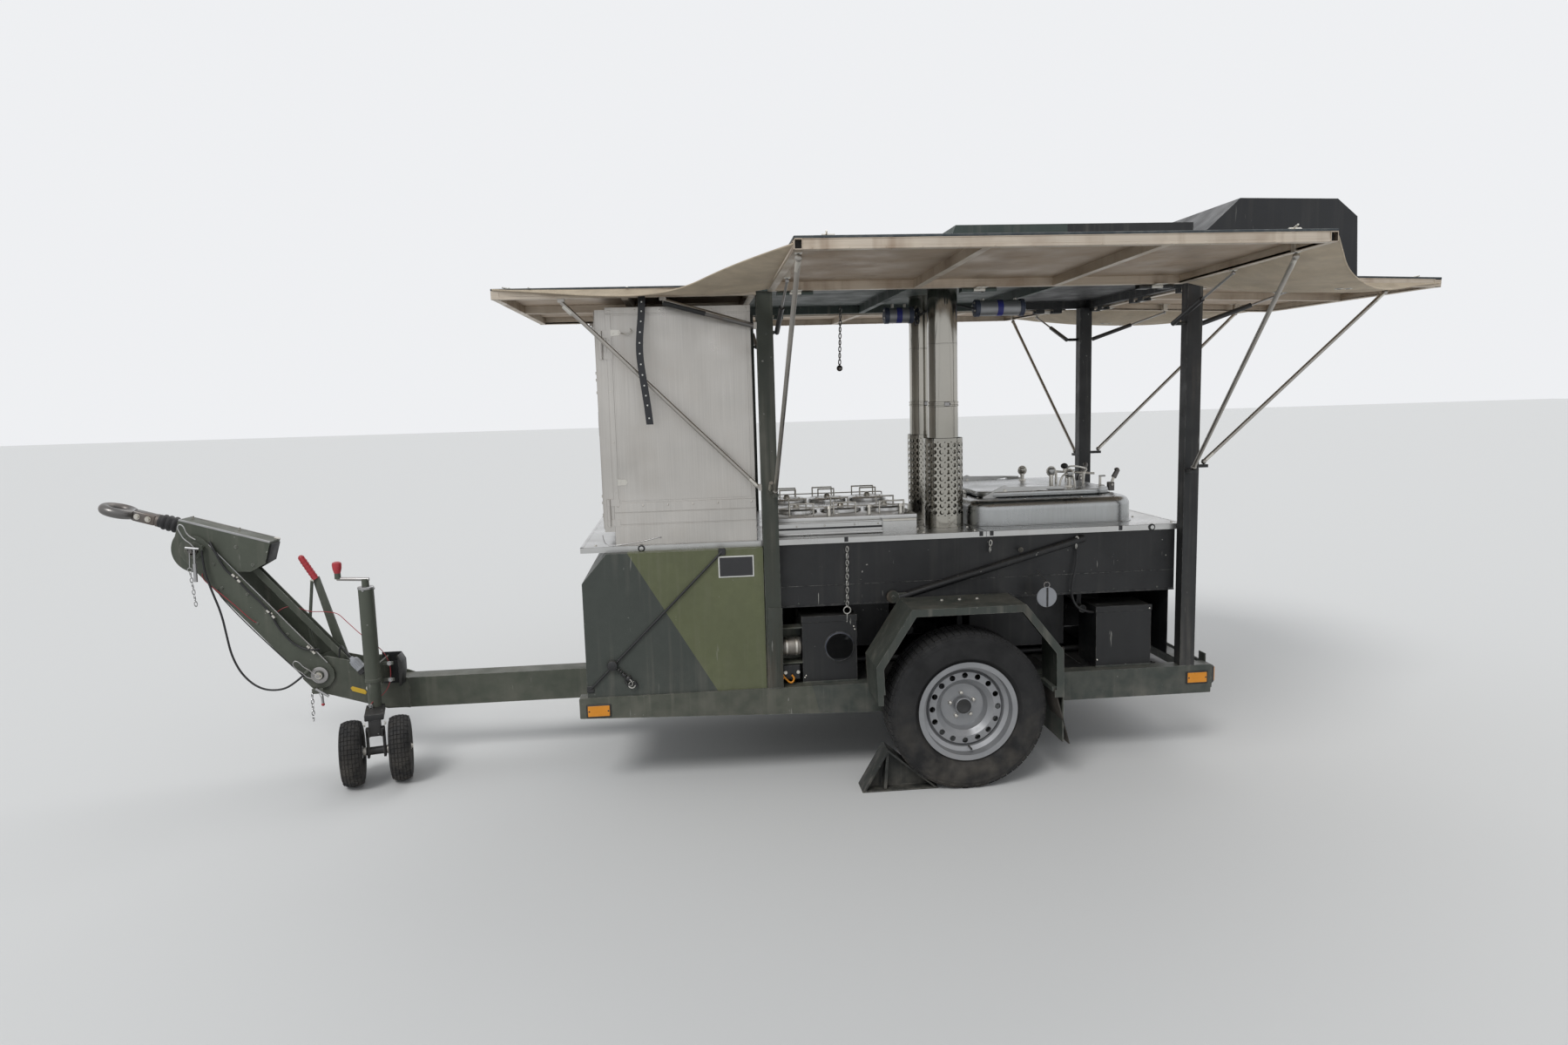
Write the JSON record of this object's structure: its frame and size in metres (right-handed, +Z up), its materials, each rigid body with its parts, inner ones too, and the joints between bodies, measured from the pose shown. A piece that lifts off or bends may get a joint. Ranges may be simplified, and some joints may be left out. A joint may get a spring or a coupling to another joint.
{
  "type": "military field kitchen trailer",
  "caption": "Towed field kitchen: single axle, adjustable drawbar with a towing eye, oven, stove and boiling pan on a worktop under a folding roof.",
  "frame": {"origin": "on the floor, at the middle of the overall length and width", "axes": "+X from the towing eye to the rear, +Y to the right side, +Z up"},
  "size_m": [6.233, 3.5192, 2.5671],
  "materials": {
    "army_green": "matt, worn",
    "black_paint": "matt, worn",
    "silver_paint": "satin",
    "oven_steel": "brushed",
    "kitchen_steel": "brushed",
    "flue_steel": "polished",
    "bare_steel": "dull",
    "flap_sheet": "dull, stained",
    "canvas": "matt",
    "tyre": "matt",
    "rubber": "matt"
  },
  "bodies": {
    "trailer": {"side_rails": "army_green", "cross_members": "army_green", "drawbar": "army_green", "axle_beam": "black_paint", "fenders": "army_green", "front_cabinet": "army_green", "kitchen_tub": "black_paint", "worktop": "kitchen_steel", "oven": "oven_steel", "stove": "kitchen_steel", "kettle": "kitchen_steel", "flues": "flue_steel", "side_boxes": "black_paint", "posts": "army_green", "roof": "flap_sheet", "roof_box": "army_green", "front_flap": "flap_sheet", "front_stays": "bare_steel", "canvas_front": "canvas", "lamps": "silver_paint", "handbrake": "army_green", "jockey_tube": "army_green", "chocks": "rubber"},
    "road_wheel_left": {"tyre_left": "tyre", "wheel_left": "silver_paint"},
    "road_wheel_right": {"tyre_right": "tyre", "wheel_right": "silver_paint"},
    "side_flap_left": {"flap_left": "flap_sheet"},
    "side_flap_right": {"flap_right": "flap_sheet"},
    "rear_flap": {"flap_rear": "flap_sheet", "rear_hood": "black_paint", "canvas_rear": "canvas"},
    "arm": {"drawbar_arm": "army_green", "arm_cable": "rubber"},
    "head": {"coupling_head": "army_green", "towing_eye": "black_paint", "gaiter": "rubber"},
    "head_link": {"upper_link": "army_green"},
    "door_left": {"oven_door_left": "oven_steel"},
    "door_right": {"oven_door_right": "oven_steel"},
    "pan_lid": {"kettle_lid": "kitchen_steel"},
    "jockey_slide": {"jockey_leg": "army_green"},
    "jockey_swivel": {"jockey_fork": "army_green"},
    "jockey_wheels": {"jockey_hubs": "black_paint", "jockey_tyres": "tyre"},
    "barrels_left": {"strut_barrels_left": "black_paint"},
    "rods_left": {"strut_rods_left": "flue_steel"},
    "barrels_right": {"strut_barrels_right": "black_paint"},
    "rods_right": {"strut_rods_right": "flue_steel"},
    "barrels_rear": {"strut_barrels_rear": "black_paint"},
    "rods_rear": {"strut_rods_rear": "flue_steel"},
    "front_stay_left": {"stay_front_left": "bare_steel"},
    "front_stay_right": {"stay_front_right": "bare_steel"},
    "rear_stay_left": {"stay_rear_left": "bare_steel"},
    "rear_stay_right": {"stay_rear_right": "bare_steel"},
    "back_stay_left": {"stay_back_left": "bare_steel"},
    "back_stay_right": {"stay_back_right": "bare_steel"}
  },
  "joints": [
    {"name": "wheel_spin_left", "type": "hinge", "parent": "trailer", "child": "road_wheel_left", "pos_m": [0.8465, -0.8, 0.352], "axis": [0, 1, 0], "continuous": true},
    {"name": "wheel_spin_right", "type": "hinge", "parent": "trailer", "child": "road_wheel_right", "pos_m": [0.8465, 0.8, 0.352], "axis": [0, 1, 0], "continuous": true},
    {"name": "side_flap_hinge_left", "type": "hinge", "parent": "trailer", "child": "side_flap_left", "pos_m": [0.9585, -0.69, 2.175], "axis": [1, 0, 0], "range_deg": [0, 91.2], "deforming": ["canvas_front", "canvas_rear"]},
    {"name": "side_flap_hinge_right", "type": "hinge", "parent": "trailer", "child": "side_flap_right", "pos_m": [0.9585, 0.69, 2.175], "axis": [-1, 0, 0], "range_deg": [0, 91.2], "deforming": ["canvas_front", "canvas_rear"]},
    {"name": "rear_flap_hinge", "type": "hinge", "parent": "trailer", "child": "rear_flap", "pos_m": [2.0215, 0, 2.175], "axis": [0, 1, 0], "range_deg": [0, 88.2], "deforming": ["canvas_rear"]},
    {"name": "strut_pivot_left", "type": "hinge", "parent": "trailer", "child": "barrels_left", "pos_m": [0.0765, -0.636, 2.015], "axis": [1, 0, 0], "range_deg": [0, 98.46]},
    {"name": "strut_stroke_left", "type": "slide", "parent": "barrels_left", "child": "rods_left", "axis": [0, -0.9489, 0.3154], "range_m": [-0.2364, 0]},
    {"name": "strut_pivot_right", "type": "hinge", "parent": "trailer", "child": "barrels_right", "pos_m": [0.0765, 0.636, 2.015], "axis": [-1, 0, 0], "range_deg": [0, 98.46]},
    {"name": "strut_stroke_right", "type": "slide", "parent": "barrels_right", "child": "rods_right", "axis": [0, 0.9489, 0.3154], "range_m": [-0.2364, 0]},
    {"name": "strut_pivot_rear", "type": "hinge", "parent": "trailer", "child": "barrels_rear", "pos_m": [2.0125, 0, 2.015], "axis": [0, 1, 0], "range_deg": [0, 107.39]},
    {"name": "strut_stroke_rear", "type": "slide", "parent": "barrels_rear", "child": "rods_rear", "axis": [0.9492, 0, 0.3148], "range_m": [-0.1917, 0]},
    {"name": "front_stay_pin_left", "type": "hinge", "parent": "side_flap_left", "child": "front_stay_left", "pos_m": [0.0565, -1.69995, 2.18815], "axis": [0.5396, -0.0019, -0.8419], "range_deg": [0, 114.93]},
    {"name": "front_stay_pin_right", "type": "hinge", "parent": "side_flap_right", "child": "front_stay_right", "pos_m": [0.0565, 1.69995, 2.18815], "axis": [-0.5396, -0.0019, 0.8419], "range_deg": [0, 114.93]},
    {"name": "rear_stay_pin_left", "type": "hinge", "parent": "side_flap_left", "child": "rear_stay_left", "pos_m": [1.8565, -1.55998, 2.18522], "axis": [0.0592, 0.639, 0.767], "range_deg": [0, 94.56]},
    {"name": "rear_stay_pin_right", "type": "hinge", "parent": "side_flap_right", "child": "rear_stay_right", "pos_m": [1.8565, 1.55998, 2.18522], "axis": [-0.0592, 0.639, -0.767], "range_deg": [0, 94.56]},
    {"name": "back_stay_pin_left", "type": "hinge", "parent": "rear_flap", "child": "back_stay_left", "pos_m": [2.90077, -0.6, 2.14013], "axis": [0.79, -0.6124, 0.0304], "range_deg": [0, 126.87]},
    {"name": "back_stay_pin_right", "type": "hinge", "parent": "rear_flap", "child": "back_stay_right", "pos_m": [2.86079, 0.6, 2.14135], "axis": [0.109, 0.6124, 0.783], "range_deg": [0, 126.87]},
    {"name": "arm_hinge", "type": "hinge", "parent": "trailer", "child": "arm", "pos_m": [-2.1545, 0, 0.456], "axis": [0, -1, 0], "range_deg": [-8, 38]},
    {"name": "head_hinge", "type": "hinge", "parent": "arm", "child": "head", "pos_m": [-2.6785, 0, 1.093], "axis": [0, -1, 0], "range_deg": [-38, 8]},
    {"name": "link_hinge", "type": "hinge", "parent": "trailer", "child": "head_link", "pos_m": [-1.9345, 0, 0.374], "axis": [0, -1, 0], "range_deg": [-8, 38]},
    {"name": "oven_door_hinge_left", "type": "hinge", "parent": "trailer", "child": "door_left", "pos_m": [-0.6833, -0.588, 1.25], "axis": [0, 0, 1], "range_deg": [0, 100]},
    {"name": "oven_door_hinge_right", "type": "hinge", "parent": "trailer", "child": "door_right", "pos_m": [-0.6833, 0.588, 1.25], "axis": [0, 0, -1], "range_deg": [0, 100]},
    {"name": "kettle_lid_hinge", "type": "hinge", "parent": "trailer", "child": "pan_lid", "pos_m": [1.0365, 0, 1.239], "axis": [0, -1, 0], "range_deg": [0, 75]},
    {"name": "jockey_wind", "type": "slide", "parent": "trailer", "child": "jockey_slide", "axis": [0, 0, 1], "range_m": [-0.2, 0.095]},
    {"name": "jockey_turn", "type": "hinge", "parent": "jockey_slide", "child": "jockey_swivel", "pos_m": [-1.8545, -0.24, 0.34], "axis": [0, 0, 1], "range_deg": [-100, 74]},
    {"name": "jockey_roll", "type": "hinge", "parent": "jockey_swivel", "child": "jockey_wheels", "pos_m": [-1.82765, -0.35182, 0.1525], "axis": [0.9724, 0.2334, 0], "continuous": true}
  ],
  "couplings": [
    {"joint": "strut_pivot_left", "follows": "side_flap_hinge_left", "ratio": 1.0796},
    {"joint": "strut_stroke_left", "follows": "side_flap_hinge_left", "m_per_rad": -0.14847},
    {"joint": "strut_pivot_right", "follows": "side_flap_hinge_right", "ratio": 1.0796},
    {"joint": "strut_stroke_right", "follows": "side_flap_hinge_right", "m_per_rad": -0.14847},
    {"joint": "strut_pivot_rear", "follows": "rear_flap_hinge", "ratio": 1.2175},
    {"joint": "strut_stroke_rear", "follows": "rear_flap_hinge", "m_per_rad": -0.12445},
    {"joint": "front_stay_pin_left", "follows": "side_flap_hinge_left", "ratio": 1.2602},
    {"joint": "front_stay_pin_right", "follows": "side_flap_hinge_right", "ratio": 1.2602},
    {"joint": "rear_stay_pin_left", "follows": "side_flap_hinge_left", "ratio": 1.0368},
    {"joint": "rear_stay_pin_right", "follows": "side_flap_hinge_right", "ratio": 1.0368},
    {"joint": "back_stay_pin_left", "follows": "rear_flap_hinge", "ratio": 1.4384},
    {"joint": "back_stay_pin_right", "follows": "rear_flap_hinge", "ratio": 1.4384},
    {"joint": "head_hinge", "follows": "arm_hinge", "ratio": -1},
    {"joint": "link_hinge", "follows": "arm_hinge", "ratio": 1}
  ]
}
